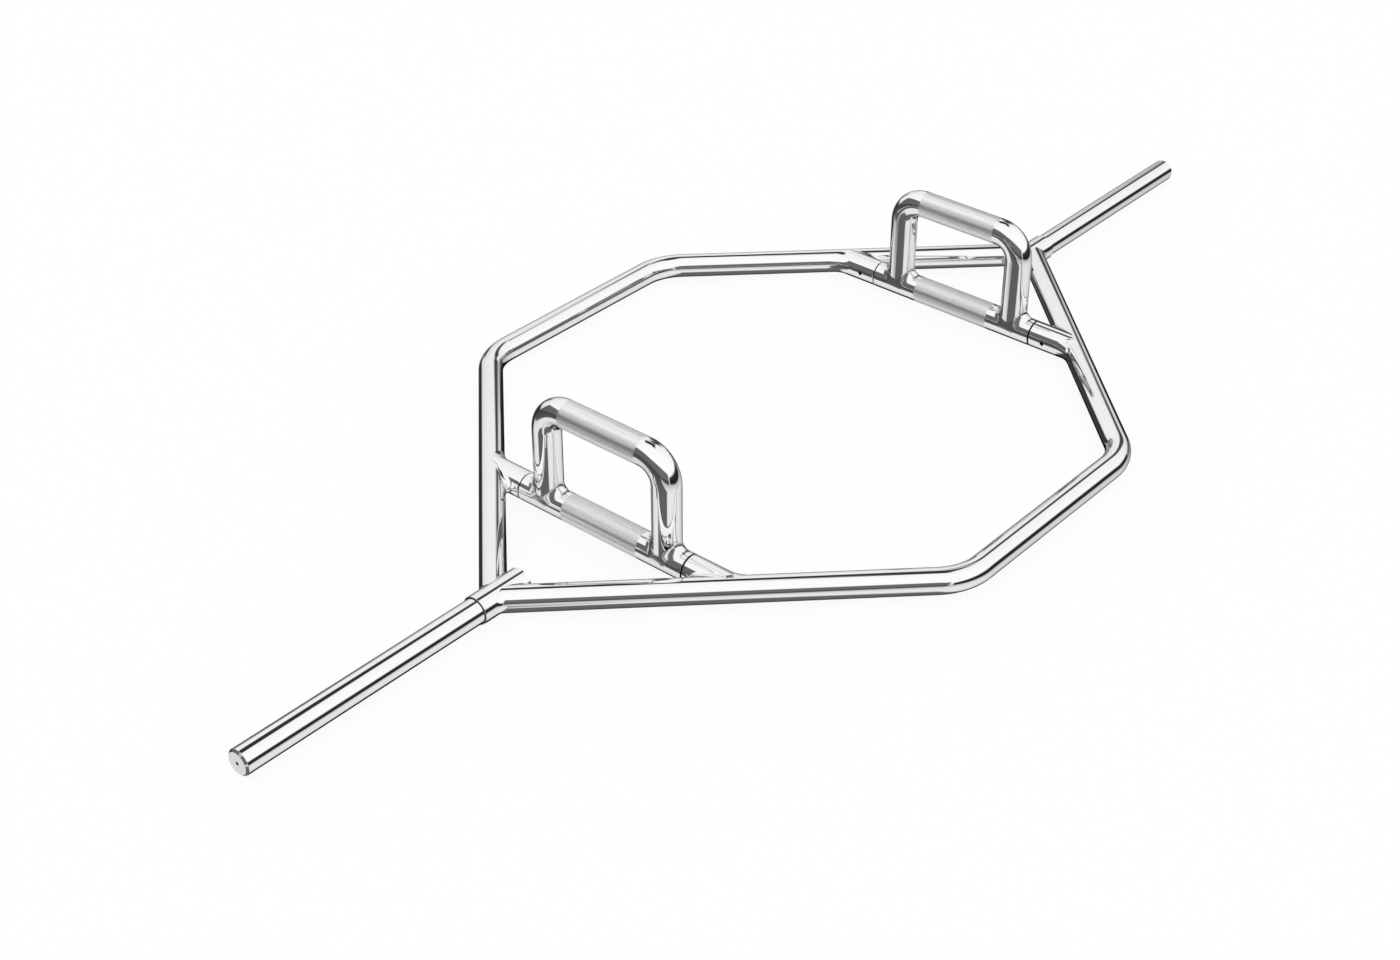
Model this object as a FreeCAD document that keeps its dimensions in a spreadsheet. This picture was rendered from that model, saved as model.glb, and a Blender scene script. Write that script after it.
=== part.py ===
import FreeCAD, Part
import math
import os
import Sketcher

# Hex trap bar with two turning handles. Lengths are in millimetres.
# X runs along the sleeves (left is -X), Y across the bar (front is -Y), Z is up.
# The bar lies on the floor plane Z = 0 and the middle of the hexagon is X = Y = 0.

doc = FreeCAD.newDocument("hex_trap_bar")
sheet = doc.addObject("Spreadsheet::Sheet", "Sizes")

SIZES = [
    # Sleeves and the sockets that carry them
    ("overall_length", 1420.0),
    ("loading_length", 263.0),
    ("sleeve_diameter", 25.0),
    ("sleeve_chamfer", 2.0),
    ("centre_hole_diameter", 3.5),
    ("centre_hole_depth", 7.0),
    ("socket_diameter", 28.0),
    ("socket_wall", 3.0),
    ("socket_length", 57.5),
    ("socket_chamfer", 0.6),
    # Bent hexagon tubes, measured on their centre lines
    ("frame_tube_diameter", 25.0),
    ("frame_tube_wall", 2.5),
    ("frame_width", 592.8),
    ("frame_side_length", 263.0),
    ("frame_bend_radius", 60.0),
    ("frame_apex_inset", 22.6),
    # Handles
    ("handle_diameter", 28.0),
    ("handle_wall", 3.0),
    ("handle_edge_chamfer", 0.4),
    ("loop_height", 101.75),
    ("loop_width", 145.6),
    ("loop_bend_radius", 25.0),
    ("loop_weld_size", 9.0),
    # Stubs, pivots and bushes
    ("grip_overhang", 28.7),
    ("pin_diameter", 16.0),
    ("pin_length", 42.0),
    ("pin_chamfer", 1.0),
    ("pin_hole_depth", 20.0),
    ("pin_hole_floor", 1.45),
    ("bush_length", 22.0),
    ("bush_flange_diameter", 26.4),
    ("bush_flange_thickness", 1.0),
    ("screw_diameter", 4.0),
    ("screw_length", 5.8),
    ("screw_setback", 16.8),
    ("screw_recess", 0.6),
    ("screw_key_width", 2.0),
    ("screw_key_depth", 2.2),
    # Fits
    ("press_fit_gap", 0.03),
    ("running_gap", 0.06),
    ("end_float", 0.15),
    ("weld_root_gap", 0.1),
    ("pin_end_gap", 0.5),
    ("cut_overrun", 5.0),
]

for row, (alias, number) in enumerate(SIZES, start=1):
    cell = f"A{row}"
    sheet.set(cell, str(number))
    sheet.setAlias(cell, alias)
doc.recompute()

# Expressions for the places and radii that several pieces share
FRAME_RADIUS = "(Sizes.frame_tube_diameter / 2)"
SOCKET_RADIUS = "(Sizes.socket_diameter / 2)"
SOCKET_BORE = f"({SOCKET_RADIUS} - Sizes.socket_wall)"
HANDLE_RADIUS = "(Sizes.handle_diameter / 2)"
HANDLE_BORE = f"({HANDLE_RADIUS} - Sizes.handle_wall)"
PIN_RADIUS = "(Sizes.pin_diameter / 2)"
PIN_HOLE = f"({PIN_RADIUS} + Sizes.press_fit_gap)"
# All tubes of the frame lie in one plane, and the thickest of them touch the floor
AXIS_HEIGHT = f"max({HANDLE_RADIUS}; {SOCKET_RADIUS})"
SOCKET_OUTER = "(Sizes.overall_length / 2 - Sizes.loading_length)"
APEX_X = f"({SOCKET_OUTER} - Sizes.frame_apex_inset)"
APEX_REACH = f"({APEX_X} + Sizes.frame_tube_diameter)"
CORNER_X = "(Sizes.frame_side_length / 2)"
HALF_WIDTH = "(Sizes.frame_width / 2)"
# The slanted sides of the hexagon: their run along X, their length and their steepness
SLANT_RUN = f"({APEX_X} - {CORNER_X})"
SLANT_LENGTH = f"sqrt({HALF_WIDTH}^2 + {SLANT_RUN}^2)"
SLANT = f"({HALF_WIDTH} / {SLANT_RUN})"
# Each grip overhangs the legs of its loop, and meets the stubs at the seams
LEG_Y = "(Sizes.loop_width / 2)"
STUB_FACE = f"({LEG_Y} + Sizes.grip_overhang)"
TUBE_END = f"({STUB_FACE} - Sizes.end_float - Sizes.bush_flange_thickness)"
# The handles stand where a stub has room for its pin before the slanted tube crosses it
FRAME_SEAT = f"({FRAME_RADIUS} + Sizes.weld_root_gap)"
PIN_ROOM = f"(Sizes.pin_hole_depth + Sizes.pin_hole_floor + {PIN_HOLE} * {SLANT})"
STUB_END = f"({STUB_FACE} + {PIN_ROOM} + {FRAME_SEAT} * {SLANT_LENGTH} / {SLANT_RUN})"
HANDLE_X = f"({APEX_X} - {STUB_END} / {SLANT})"
SCREW_HEAD = f"({HANDLE_RADIUS} - Sizes.screw_recess)"
SCREW_TIP = f"({SCREW_HEAD} - Sizes.screw_length)"

LEFT_RIGHT = (("left", -1), ("right", 1))
FRONT_REAR = (("front", -1), ("rear", 1))

# How far round the leg each weld runs, and how full its hollow face is
WELD_SWEEP_DEGREES = 78
WELD_SECTIONS = 9
WELD_FILL_SHARE = 0.33
WELD_DEPTH_SHARE = 0.5
WELD_TOE_SHARE = 0.03
# A hexagon key's corners lie this share of its width from the middle
KEY_CORNER_SHARE = 1 / math.sqrt(3)
KEY_SIDES = 6
# Turns in degrees
QUARTER_TURN = 90
HALF_TURN = 180
FULL_TURN = 360

pieces = {}


def value(expression):
    """The number that an expression over the sizes stands for."""
    number = sheet.evalExpression(expression)
    return getattr(number, "Value", number)


def signed(sign, expression):
    """The expression, turned round for the left or front side."""
    return expression if sign > 0 else f"-1 * {expression}"


def plane(body, role):
    """One of a body's own origin planes."""
    return next(item for item in body.Origin.OriginFeatures if item.Role == role)


def add_sketch(body, name, role):
    """A sketch on one of the body's origin planes."""
    sketch = body.newObject("Sketcher::SketchObject", name)
    sketch.AttachmentSupport = (plane(body, role), [""])
    sketch.MapMode = "FlatFace"
    return sketch


def bind_point(sketch, geometry, position, across, along):
    """Hold a point of a sketch at two expressions, zero meaning on the axis."""
    for kind, axis, expression in (("DistanceX", -2, across), ("DistanceY", -1, along)):
        if expression == "0":
            sketch.addConstraint(Sketcher.Constraint("PointOnObject", geometry, position, axis))
            continue
        index = sketch.addConstraint(
            Sketcher.Constraint(kind, -1, 1, geometry, position, value(expression))
        )
        sketch.setExpression(f"Constraints[{index}]", expression)


def add_polygon(sketch, corners):
    """A closed outline through corners given as pairs of expressions."""
    points = [FreeCAD.Vector(value(across), value(along), 0) for across, along in corners]
    count = len(points)
    for i in range(count):
        sketch.addGeometry(Part.LineSegment(points[i], points[(i + 1) % count]), False)
    for i in range(count):
        sketch.addConstraint(Sketcher.Constraint("Coincident", i, 2, (i + 1) % count, 1))
    for i, (across, along) in enumerate(corners):
        bind_point(sketch, i, 1, across, along)


def add_circle(sketch, across, along, radius):
    """A circle at two expressions with a radius expression."""
    middle = FreeCAD.Vector(value(across), value(along), 0)
    circle = Part.Circle(middle, FreeCAD.Vector(0, 0, 1), value(radius))
    geometry = sketch.addGeometry(circle, False)
    bind_point(sketch, geometry, 3, across, along)
    index = sketch.addConstraint(Sketcher.Constraint("Radius", geometry, value(radius)))
    sketch.setExpression(f"Constraints[{index}]", radius)


def add_bend(sketch, start, corner, end, radius):
    """A path of two straights joined by a tangent bend.

    start, corner and end are pairs of expressions. The first straight is level.
    """
    first, turn, last = (
        FreeCAD.Vector(value(across), value(along), 0) for across, along in (start, corner, end)
    )
    into = (first - turn).normalize()
    out = (last - turn).normalize()
    half_angle = into.getAngle(out) / 2
    reach = value(radius) / math.tan(half_angle)
    centre = turn + (into + out).normalize() * (value(radius) / math.sin(half_angle))
    bend_start = turn + into * reach
    bend_end = turn + out * reach
    middle = centre + (turn - centre).normalize() * value(radius)
    line_in = sketch.addGeometry(Part.LineSegment(first, bend_start), False)
    bend = sketch.addGeometry(Part.Arc(bend_start, middle, bend_end), False)
    line_out = sketch.addGeometry(Part.LineSegment(bend_end, last), False)
    arc = sketch.Geometry[bend]
    starts_first = (arc.StartPoint - bend_start).Length < (arc.EndPoint - bend_start).Length
    entry, leaving = (1, 2) if starts_first else (2, 1)
    sketch.addConstraint(Sketcher.Constraint("Horizontal", line_in))
    sketch.addConstraint(Sketcher.Constraint("Tangent", line_in, 2, bend, entry))
    sketch.addConstraint(Sketcher.Constraint("Tangent", bend, leaving, line_out, 1))
    bind_point(sketch, line_in, 1, *start)
    bind_point(sketch, line_out, 2, *end)
    index = sketch.addConstraint(Sketcher.Constraint("Radius", bend, value(radius)))
    sketch.setExpression(f"Constraints[{index}]", radius)
    # The second straight points at the corner
    mark = sketch.addGeometry(Part.Point(turn), True)
    bind_point(sketch, mark, 1, *corner)
    sketch.addConstraint(Sketcher.Constraint("PointOnObject", mark, 1, line_out))


def add_bent_tube(body, profile_role, path_role, profile_centre, path, radii, bend_radius):
    """Half of a bent tube swept from the middle plane, then mirrored across it."""
    profile = add_sketch(body, body.Name + "_section", profile_role)
    for radius in radii:
        add_circle(profile, *profile_centre, radius)
    spine = add_sketch(body, body.Name + "_path", path_role)
    add_bend(spine, *path, bend_radius)
    doc.recompute()
    pipe = body.newObject("PartDesign::AdditivePipe", body.Name + "_pipe")
    pipe.Profile = profile
    pipe.Spine = (spine, ["Edge1", "Edge2", "Edge3"])
    body.Tip = pipe
    doc.recompute()
    mirror = body.newObject("PartDesign::Mirrored", body.Name + "_mirror")
    mirror.Originals = [pipe]
    mirror.MirrorPlane = (plane(body, profile_role), [""])
    body.Tip = mirror
    doc.recompute()


def add_cut(body, sketch, name):
    """Cut a sketch's outline through the whole body, both ways."""
    before = body.Shape.Volume
    cut = body.newObject("PartDesign::Pocket", body.Name + name)
    cut.Profile = sketch
    cut.Type = "ThroughAll"
    cut.Midplane = True
    body.Tip = cut
    doc.recompute()
    if not 0 < body.Shape.Volume < before:
        raise RuntimeError(body.Label + name + ": the cut took nothing off")


def add_cope(body, role, radius):
    """Cut the round seat of another tube along the normal of an origin plane."""
    seat = add_sketch(body, body.Name + "_seat", role)
    add_circle(seat, "0", "0", radius)
    add_cut(body, seat, "_cope")


def add_middle_cut(body):
    """Stop a frame tube at the middle plane, where the other one begins."""
    outline = add_sketch(body, body.Name + "_far_half", "XY_Plane")
    add_polygon(outline, (
        (signed(-1, APEX_REACH), "0"),
        (APEX_REACH, "0"),
        (APEX_REACH, HALF_WIDTH),
        (signed(-1, APEX_REACH), HALF_WIDTH),
    ))
    add_cut(body, outline, "_middle_cut")


def add_turned(label, corners):
    """A turned piece: an outline of (along, radius) pairs revolved about local X."""
    body = doc.addObject("PartDesign::Body", label)
    outline = add_sketch(body, label + "_outline", "XY_Plane")
    add_polygon(outline, corners)
    turned = body.newObject("PartDesign::Revolution", label + "_turned")
    turned.Profile = outline
    turned.ReferenceAxis = (outline, ["H_Axis"])
    turned.Angle = FULL_TURN
    body.Tip = turned
    body.Label = label
    return body


def set_place(item, across, along, height, axis="0; 0; 1", degrees=0):
    """Put an object at expressions for its place, turned about one axis."""
    item.setExpression(
        "Placement",
        f"placement(vector({across}; {along}; {height}); rotation(vector({axis}); {degrees}))",
    )


def keep(label, item):
    """Note a finished piece under the name of its file."""
    item.Label = label
    pieces[label] = item


# Two bent tubes make the hexagon. Each is coped round the sleeve sockets.
# The rear one is the front one turned half round.
for side, turn in (("front", 0), ("rear", HALF_TURN)):
    label = f"{side}_frame_tube"
    tube = doc.addObject("PartDesign::Body", label)
    width = signed(-1, HALF_WIDTH)
    add_bent_tube(
        tube,
        "YZ_Plane",
        "XY_Plane",
        (width, "0"),
        (("0", width), (CORNER_X, width), (APEX_X, "0")),
        (FRAME_RADIUS, f"{FRAME_RADIUS} - Sizes.frame_tube_wall"),
        "Sizes.frame_bend_radius",
    )
    add_middle_cut(tube)
    add_cope(tube, "YZ_Plane", f"{SOCKET_RADIUS} + Sizes.weld_root_gap")
    set_place(tube, "0", "0", AXIS_HEIGHT, degrees=turn)
    keep(label, tube)

# Sockets and the solid sleeves whose spigots fill them
for side, sign in LEFT_RIGHT:
    turn = 0 if sign > 0 else HALF_TURN
    socket_inner = f"{SOCKET_OUTER} - Sizes.socket_length"
    socket_edge = f"{SOCKET_RADIUS} - Sizes.socket_chamfer"
    label = f"{side}_sleeve_socket"
    socket = add_turned(label, (
        (socket_inner, SOCKET_BORE),
        (socket_inner, socket_edge),
        (f"{socket_inner} + Sizes.socket_chamfer", SOCKET_RADIUS),
        (f"{SOCKET_OUTER} - Sizes.socket_chamfer", SOCKET_RADIUS),
        (SOCKET_OUTER, socket_edge),
        (SOCKET_OUTER, SOCKET_BORE),
    ))
    set_place(socket, "0", "0", AXIS_HEIGHT, degrees=turn)
    keep(label, socket)

    sleeve_end = "Sizes.overall_length / 2"
    sleeve_radius = "Sizes.sleeve_diameter / 2"
    spigot_radius = f"{SOCKET_BORE} - Sizes.press_fit_gap"
    hole_radius = "Sizes.centre_hole_diameter / 2"
    hole_end = f"{sleeve_end} - Sizes.centre_hole_depth"
    label = f"{side}_sleeve"
    sleeve = add_turned(label, (
        (socket_inner, "0"),
        (socket_inner, spigot_radius),
        (SOCKET_OUTER, spigot_radius),
        (SOCKET_OUTER, sleeve_radius),
        (f"{sleeve_end} - Sizes.sleeve_chamfer", sleeve_radius),
        (sleeve_end, f"{sleeve_radius} - Sizes.sleeve_chamfer"),
        (sleeve_end, hole_radius),
        (hole_end, hole_radius),
        (hole_end, "0"),
    ))
    set_place(sleeve, "0", "0", AXIS_HEIGHT, degrees=turn)
    keep(label, sleeve)

# A block that ends on the hexagon's centre lines trims the stubs
hexagon = doc.addObject("Sketcher::SketchObject", "hexagon_outline")
add_polygon(hexagon, (
    (APEX_X, "0"),
    (CORNER_X, HALF_WIDTH),
    (signed(-1, CORNER_X), HALF_WIDTH),
    (signed(-1, APEX_X), "0"),
    (signed(-1, CORNER_X), signed(-1, HALF_WIDTH)),
    (CORNER_X, signed(-1, HALF_WIDTH)),
))
block = doc.addObject("Part::Extrusion", "hexagon_block")
block.Base = hexagon
block.DirMode = "Normal"
block.Solid = True
block.setExpression("LengthFwd", f"{AXIS_HEIGHT} + {HANDLE_RADIUS} + Sizes.cut_overrun")
block.setExpression("LengthRev", "Sizes.cut_overrun")
doc.recompute()


def place_on_screw(item, across, along, radius):
    """Stand an upright tool on a grub screw's axis, from a radius about the pin outwards.

    The screw enters from the middle of the hexagon, square to the pin.
    """
    screw_x = f"{signed(across, HANDLE_X)} - {across} * {radius}"
    screw_y = signed(along, f"({STUB_FACE} + Sizes.screw_setback)")
    set_place(item, screw_x, screw_y, AXIS_HEIGHT, "0; 1; 0", -across * QUARTER_TURN)


# Stubs, pivot pins and grub screws, one set at each end of each handle
screws = []
for end, across in LEFT_RIGHT:
    for side, along in FRONT_REAR:
        corner_name = f"{end}_{side}"
        # Local X of the turned pieces points from the seam to the frame tube
        turn = along * QUARTER_TURN
        place = (signed(across, HANDLE_X), signed(along, STUB_FACE), AXIS_HEIGHT)
        stub_edge = f"{HANDLE_RADIUS} - Sizes.handle_edge_chamfer"
        stub_reach = f"{HALF_WIDTH} - {STUB_FACE}"

        blank = add_turned(f"{corner_name}_stub_blank", (
            ("0", PIN_HOLE),
            ("0", stub_edge),
            ("Sizes.handle_edge_chamfer", HANDLE_RADIUS),
            (stub_reach, HANDLE_RADIUS),
            (stub_reach, "0"),
            ("Sizes.pin_hole_depth", "0"),
            ("Sizes.pin_hole_depth", PIN_HOLE),
        ))
        set_place(blank, *place, degrees=turn)

        trimmed = doc.addObject("Part::Common", f"{corner_name}_stub_trimmed")
        trimmed.Base = blank
        trimmed.Tool = block

        run = doc.addObject("Part::Cylinder", f"{corner_name}_run")
        run.setExpression("Radius", FRAME_SEAT)
        run.setExpression("Height", SLANT_LENGTH)
        run_axis = f"{signed(-along, HALF_WIDTH)}; {signed(-across, SLANT_RUN)}; 0"
        set_place(run, signed(across, APEX_X), "0", AXIS_HEIGHT, run_axis, QUARTER_TURN)

        hole = doc.addObject("Part::Cylinder", f"{corner_name}_screw_hole")
        hole.setExpression("Radius", "Sizes.screw_diameter / 2 + Sizes.press_fit_gap")
        hole.setExpression("Height", HANDLE_RADIUS)
        place_on_screw(hole, across, along, f"({SCREW_TIP} - Sizes.press_fit_gap)")

        cutters = doc.addObject("Part::MultiFuse", f"{corner_name}_stub_cutters")
        cutters.Shapes = [run, hole]
        stub = doc.addObject("Part::Cut", f"{corner_name}_stub")
        stub.Base = trimmed
        stub.Tool = cutters
        keep(f"{corner_name}_stub", stub)

        pin_seat = "Sizes.pin_hole_depth - Sizes.pin_end_gap"
        pin_tip = f"{pin_seat} - Sizes.pin_length"
        pin_edge = f"{PIN_RADIUS} - Sizes.pin_chamfer"
        rod = add_turned(f"{corner_name}_pin_rod", (
            (pin_tip, "0"),
            (pin_tip, pin_edge),
            (f"{pin_tip} + Sizes.pin_chamfer", PIN_RADIUS),
            (f"{pin_seat} - Sizes.pin_chamfer", PIN_RADIUS),
            (pin_seat, pin_edge),
            (pin_seat, "0"),
        ))
        set_place(rod, *place, degrees=turn)
        pin = doc.addObject("Part::Cut", f"{corner_name}_pivot_pin")
        pin.Base = rod
        pin.Tool = hole
        keep(f"{corner_name}_pivot_pin", pin)

        shank = doc.addObject("Part::Cylinder", f"{corner_name}_screw_shank")
        shank.setExpression("Radius", "Sizes.screw_diameter / 2")
        shank.setExpression("Height", "Sizes.screw_length")
        place_on_screw(shank, across, along, SCREW_TIP)
        key = doc.addObject("Part::Prism", f"{corner_name}_screw_key")
        key.Polygon = KEY_SIDES
        key.setExpression("Circumradius", f"Sizes.screw_key_width * {KEY_CORNER_SHARE}")
        key.setExpression("Height", HANDLE_RADIUS)
        place_on_screw(key, across, along, f"({SCREW_HEAD} - Sizes.screw_key_depth)")
        screw = doc.addObject("Part::Cut", f"{corner_name}_screw")
        screw.Base = shank
        screw.Tool = key
        screws.append(screw)

screw_set = doc.addObject("Part::Compound", "grub_screws")
screw_set.Links = screws
keep("grub_screws", screw_set)
doc.recompute()


def weld_section(share, across, side):
    """One slice of a weld, square to X, scaled by how much of the leg it sees."""
    radius = value(HANDLE_RADIUS)
    size = value("Sizes.loop_weld_size")
    depth = value("Sizes.handle_wall") * WELD_DEPTH_SHARE
    inner = (radius - depth) * share
    toe = (radius - size * WELD_TOE_SHARE) * share
    throat = (radius + size * WELD_FILL_SHARE) * share
    reach = (radius + size) * share

    def point(out, up):
        return FreeCAD.Vector(across, side * out, up)

    low = point(reach, toe)
    high = point(toe, reach)
    hollow = Part.Arc(low, point(throat, throat), high).toShape()
    rest = Part.makePolygon([high, point(inner, reach), point(inner, inner), point(reach, inner), low])
    return Part.Wire([hollow] + rest.Edges)


def leg_welds():
    """The two welds at the foot of a leg that stands on the lower grip at the origin."""
    radius = value(HANDLE_RADIUS)
    reach = value(STUB_FACE)
    leg = Part.makeCylinder(radius, reach)
    grip = Part.makeCylinder(radius, 2 * reach, FreeCAD.Vector(0, -reach, 0), FreeCAD.Vector(0, 1, 0))
    found = []
    for side in (-1, 1):
        slices = []
        for step in range(WELD_SECTIONS):
            angle = math.radians(WELD_SWEEP_DEGREES * (2 * step / (WELD_SECTIONS - 1) - 1))
            slices.append(weld_section(math.cos(angle), radius * math.sin(angle), side))
        found.append(Part.makeLoft(slices, True).cut(leg).cut(grip))
    return found


# The handles: a lower grip that turns on the pins, and a raised loop welded to it
for end, across in LEFT_RIGHT:
    handle_x = signed(across, HANDLE_X)

    edge = f"{HANDLE_RADIUS} - Sizes.handle_edge_chamfer"
    label = f"{end}_lower_grip"
    grip = add_turned(label, (
        (signed(-1, TUBE_END), HANDLE_BORE),
        (signed(-1, TUBE_END), edge),
        (f"{signed(-1, TUBE_END)} + Sizes.handle_edge_chamfer", HANDLE_RADIUS),
        (f"{TUBE_END} - Sizes.handle_edge_chamfer", HANDLE_RADIUS),
        (TUBE_END, edge),
        (TUBE_END, HANDLE_BORE),
    ))
    set_place(grip, handle_x, "0", AXIS_HEIGHT, degrees=QUARTER_TURN)
    keep(label, grip)

    label = f"{end}_upper_loop"
    loop = doc.addObject("PartDesign::Body", label)
    add_bent_tube(
        loop,
        "XZ_Plane",
        "YZ_Plane",
        ("0", "Sizes.loop_height"),
        (("0", "Sizes.loop_height"), (signed(-1, LEG_Y), "Sizes.loop_height"), (signed(-1, LEG_Y), "0")),
        (HANDLE_RADIUS, HANDLE_BORE),
        "Sizes.loop_bend_radius",
    )
    add_cope(loop, "XZ_Plane", f"{HANDLE_RADIUS} + Sizes.weld_root_gap")
    set_place(loop, handle_x, "0", AXIS_HEIGHT)
    keep(label, loop)

    beads = []
    for side, along in FRONT_REAR:
        for bead in leg_welds():
            bead.translate(FreeCAD.Vector(0, along * value(LEG_Y), 0))
            beads.append(bead)
    label = f"{end}_loop_welds"
    welds = doc.addObject("Part::Feature", label)
    welds.Shape = Part.makeCompound(beads)
    set_place(welds, handle_x, "0", AXIS_HEIGHT)
    keep(label, welds)

    bore = f"{PIN_RADIUS} + Sizes.running_gap"
    barrel = f"{HANDLE_BORE} - Sizes.press_fit_gap"
    flange = "Sizes.bush_flange_diameter / 2"
    for side, along in FRONT_REAR:
        # Local X points out of the grip, and the flange covers the tube's end
        label = f"{end}_{side}_bush"
        bush = add_turned(label, (
            ("-1 * Sizes.bush_length", bore),
            ("-1 * Sizes.bush_length", barrel),
            ("0", barrel),
            ("0", flange),
            ("Sizes.bush_flange_thickness", flange),
            ("Sizes.bush_flange_thickness", bore),
        ))
        bush_y = signed(along, TUBE_END)
        set_place(bush, handle_x, bush_y, AXIS_HEIGHT, degrees=along * QUARTER_TURN)
        keep(label, bush)

doc.recompute()

for item in doc.Objects:
    if "Invalid" in item.State or "Error" in item.State:
        raise RuntimeError(f"{item.Label}: {item.State}")

os.makedirs("parts", exist_ok=True)
for label, item in pieces.items():
    shape = item.Shape
    if shape.isNull() or not shape.isValid():
        raise RuntimeError(label + ": the shape is not sound")
    shape.exportStep(f"parts/{label}.step")
    print(label, len(shape.Solids), round(shape.Volume / 1000, 2))
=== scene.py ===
import math
import bmesh
import bpy
import numpy as np
from mathutils import Matrix, Vector


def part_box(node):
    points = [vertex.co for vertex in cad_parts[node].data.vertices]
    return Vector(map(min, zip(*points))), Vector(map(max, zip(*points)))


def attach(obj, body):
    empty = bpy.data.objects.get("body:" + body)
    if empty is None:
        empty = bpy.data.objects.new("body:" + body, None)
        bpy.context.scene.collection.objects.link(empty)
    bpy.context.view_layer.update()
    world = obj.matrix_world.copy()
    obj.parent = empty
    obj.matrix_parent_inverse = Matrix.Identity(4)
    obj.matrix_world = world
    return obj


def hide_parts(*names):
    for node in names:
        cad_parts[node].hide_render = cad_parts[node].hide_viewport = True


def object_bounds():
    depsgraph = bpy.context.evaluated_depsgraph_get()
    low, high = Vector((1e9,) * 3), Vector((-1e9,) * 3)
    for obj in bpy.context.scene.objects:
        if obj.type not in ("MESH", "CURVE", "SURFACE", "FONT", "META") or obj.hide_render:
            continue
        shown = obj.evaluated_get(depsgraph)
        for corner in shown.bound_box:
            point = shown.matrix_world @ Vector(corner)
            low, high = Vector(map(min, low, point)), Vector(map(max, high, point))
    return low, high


# Looks of a chrome hex trap bar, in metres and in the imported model's frame:
# X runs along the sleeves, Y from the front tube to the rear one, Z up from the floor.

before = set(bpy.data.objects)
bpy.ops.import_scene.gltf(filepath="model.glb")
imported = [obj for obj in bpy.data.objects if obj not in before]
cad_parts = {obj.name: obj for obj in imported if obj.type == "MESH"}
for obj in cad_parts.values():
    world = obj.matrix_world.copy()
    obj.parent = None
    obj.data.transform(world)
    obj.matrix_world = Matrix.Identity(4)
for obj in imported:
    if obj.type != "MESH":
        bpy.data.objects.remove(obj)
cad_low, cad_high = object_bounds()

# Real sizes of the bars and tubes
SLEEVE_RADIUS = 0.0125
SPIGOT_RADIUS = 0.01097
SOCKET_RADIUS = 0.014
SOCKET_BORE = 0.011
FRAME_RADIUS = 0.0125
FRAME_BEND = 0.060
HANDLE_RADIUS = 0.014
HANDLE_BORE = 0.011
LOOP_BEND = 0.025
AXIS_Z = HANDLE_RADIUS

# Corners of the hexagon's centre lines
CORNER_X = 0.1315
CORNER_Y = 0.2964
APEX_INSET = 0.0226

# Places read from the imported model
SLEEVE_END = cad_high.x
SPIGOT_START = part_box("right_sleeve")[0].x
SOCKET_INNER, SOCKET_OUTER = (corner.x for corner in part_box("right_sleeve_socket"))
APEX_X = SOCKET_OUTER - APEX_INSET
HANDLE_X = sum(corner.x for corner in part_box("right_lower_grip")) / 2
GRIP_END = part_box("right_lower_grip")[1].y
STUB_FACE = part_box("right_rear_stub")[0].y
LOOP_TOP = cad_high.z - HANDLE_RADIUS
LEG_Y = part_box("right_upper_loop")[1].y - HANDLE_RADIUS

# Edges of the sleeves, the sockets and the seams
SLEEVE_CHAMFER = 0.0020
SOCKET_EDGE_DEPTH = 0.0009
SOCKET_EDGE_LENGTH = 0.0006
SEAM_CHAMFER = 0.0005
SEAM_EDGE = 0.0008
EDGE_ROUND = 0.0003
SHARP_ROUND = 0.00012

# Holes. A screw's setback is from the seam, and its hole's floor is measured from the stub's axis
CENTRE_HOLE_RADIUS = 0.00175
CENTRE_HOLE_DEPTH = 0.0070
PIN_HOLE_RADIUS = 0.00803
PIN_HOLE_DEPTH = 0.0200
SCREW_HOLE_RADIUS = 0.00203
SCREW_HOLE_EDGE = 0.0003
SCREW_HOLE_FLOOR = 0.0076
SCREW_SETBACK = 0.0168

# Sizes of the welds, and the least share of a loop's weld where leg and grip are tangent
SOCKET_WELD = 0.0032
STUB_WELD = 0.0095
LOOP_WELD = 0.0090
LOOP_WELD_LEAST_SHARE = 0.35
# The rays that find a weld's skin start this deep, and its last ring lies this far out and this deep
WELD_ROOT = 0.0030
WELD_MARGIN = 0.0004
WELD_SINK = 0.00004
# Where the last ring misses the bar, it goes on by this many times the miss
WELD_MISS_SHARE = 3
# A stub is dressed down to the tube's crest, between these heights over the tube's axis, by this share
STUB_DRESS_START = 0.014
STUB_DRESS_FULL = 0.002
STUB_DRESS_SHARE = 0.125

# The knurl of the grips: rows of small pyramids between two sharp ends
KNURL_HALF_LENGTH = 0.0465
KNURL_ROWS = 39
KNURL_PEAK = 0.01400
KNURL_VALLEY = 0.01385

# Mesh fineness
AROUND = 96
BEND_STEPS = 28
WELD_STEPS = 14
STUB_ROWS = 40
HOLE_ROWS = 6
HOLE_COLUMNS = 5
HOLE_RINGS = 5
# Points on a rounded corner and on a sharp one, as shares of the corner's turn
ROUND_SHARES = np.linspace(0, 1, 5)
SHARP_SHARES = (0.5,)
# The search for a weld's skin: its halvings, its reach in radii, and a hair's breadth for slopes
HALVINGS = 44
SEARCH_RADII = 3
HAIR = 1e-6

X_AXIS = np.array([1.0, 0.0, 0.0])
Y_AXIS = np.array([0.0, 1.0, 0.0])
Z_AXIS = np.array([0.0, 0.0, 1.0])
TURNS = np.linspace(0, 2 * math.pi, AROUND, endpoint=False)

ENDS = (("left", -1), ("right", 1))
SIDES = (("front", -1), ("rear", 1))

# Materials: the dark and the light tone of the chrome, and what a metal gives back edge-on
CHROME_TONES = ((0.93, 0.932, 0.936), (0.958, 0.96, 0.963))
EDGE_TINT = 0.42
KNURL_EDGE_TINT = 0.60
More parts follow.
